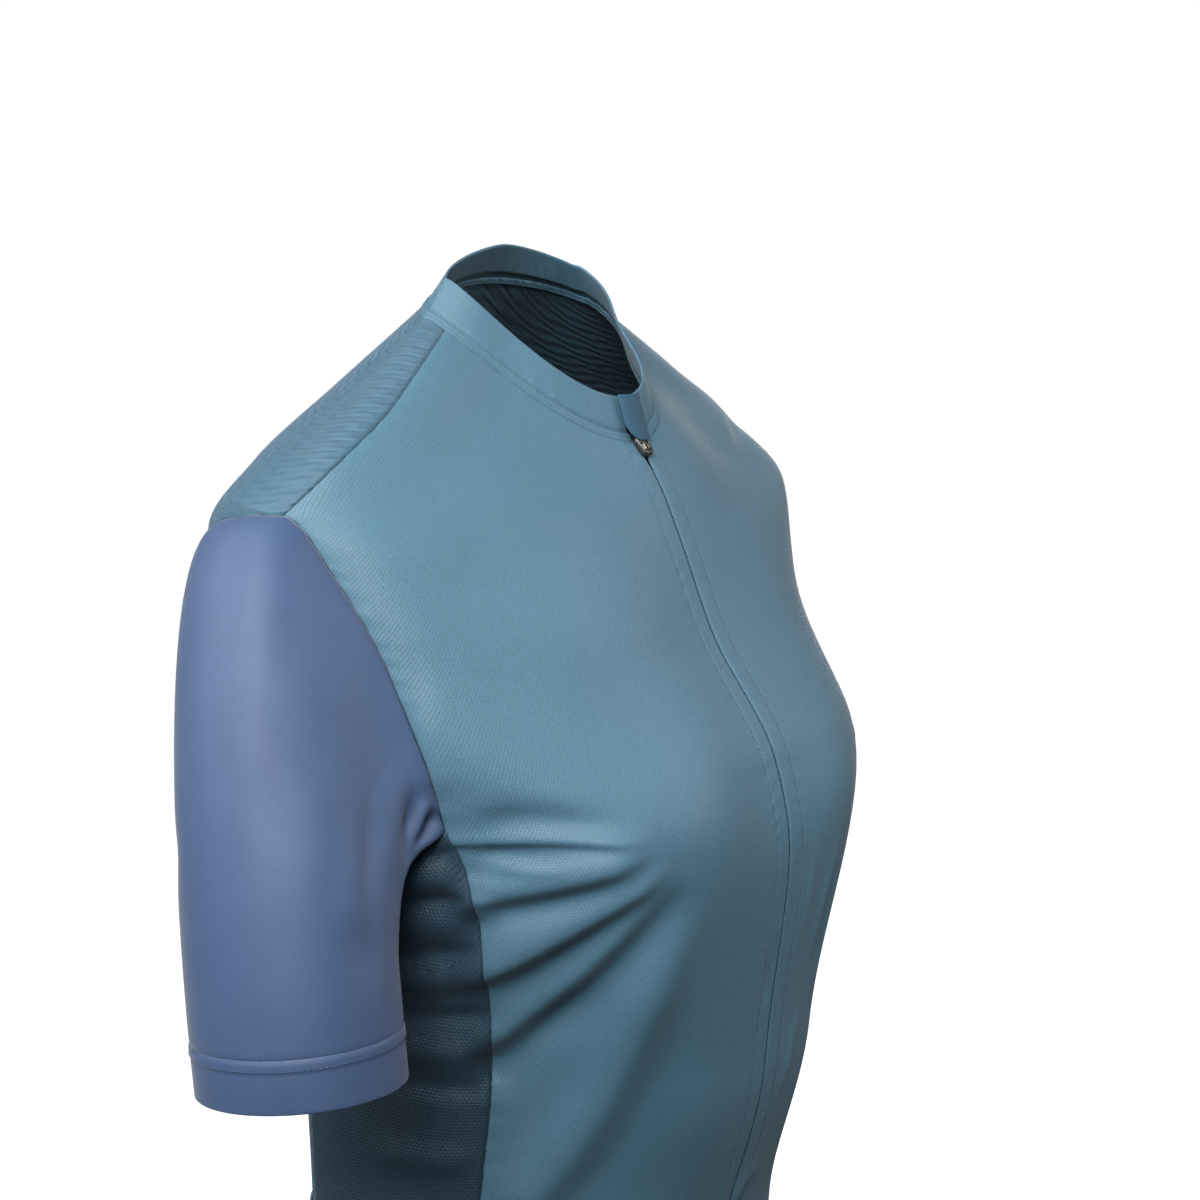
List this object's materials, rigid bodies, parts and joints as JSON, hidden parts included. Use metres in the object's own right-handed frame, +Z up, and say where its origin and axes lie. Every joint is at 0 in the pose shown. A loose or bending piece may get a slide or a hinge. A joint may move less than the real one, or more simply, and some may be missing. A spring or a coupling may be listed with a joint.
{
  "type": "cycling jersey",
  "caption": "Short-sleeved road cycling jersey in its worn, hollow form, with a low stand collar, full-length front zip and rear pocket panel.",
  "frame": {"origin": "midway between the two neck points, where the collar meets the tops of the shoulders", "axes": "+Z up along the wearer, -Y the way the wearer faces, +X the wearer's left"},
  "size_m": [0.4912, 0.2485, 0.6255],
  "materials": {
    "front_mesh": "fine knitted mesh, soft sheen",
    "side_mesh": "open knitted mesh, matt",
    "back_jacquard": "jacquard knit with a fine zigzag relief, soft sheen",
    "sleeve_lycra": "smooth stretch knit, satin sheen",
    "collar_knit": "fine knitted mesh, soft sheen",
    "garage_lycra": "smooth stretch knit",
    "zip_tape": "woven tape, matt",
    "zip_coil": "nylon coil, satin",
    "slider_metal": "gunmetal, satin"
  },
  "bodies": {
    "root": {"front_right": "front_mesh", "front_left": "front_mesh", "side_right": "side_mesh", "side_left": "side_mesh", "back": "back_jacquard", "pocket_panel": "back_jacquard", "sleeve_right": "sleeve_lycra", "sleeve_left": "sleeve_lycra", "cuff_right": "sleeve_lycra", "cuff_left": "sleeve_lycra", "collar": "collar_knit", "zip_garage": "garage_lycra", "zip_tape_right": "zip_tape", "zip_tape_left": "zip_tape", "zip_coil": "zip_coil", "zip_slider": "slider_metal", "zip_pull": "slider_metal"}
  },
  "joints": []
}
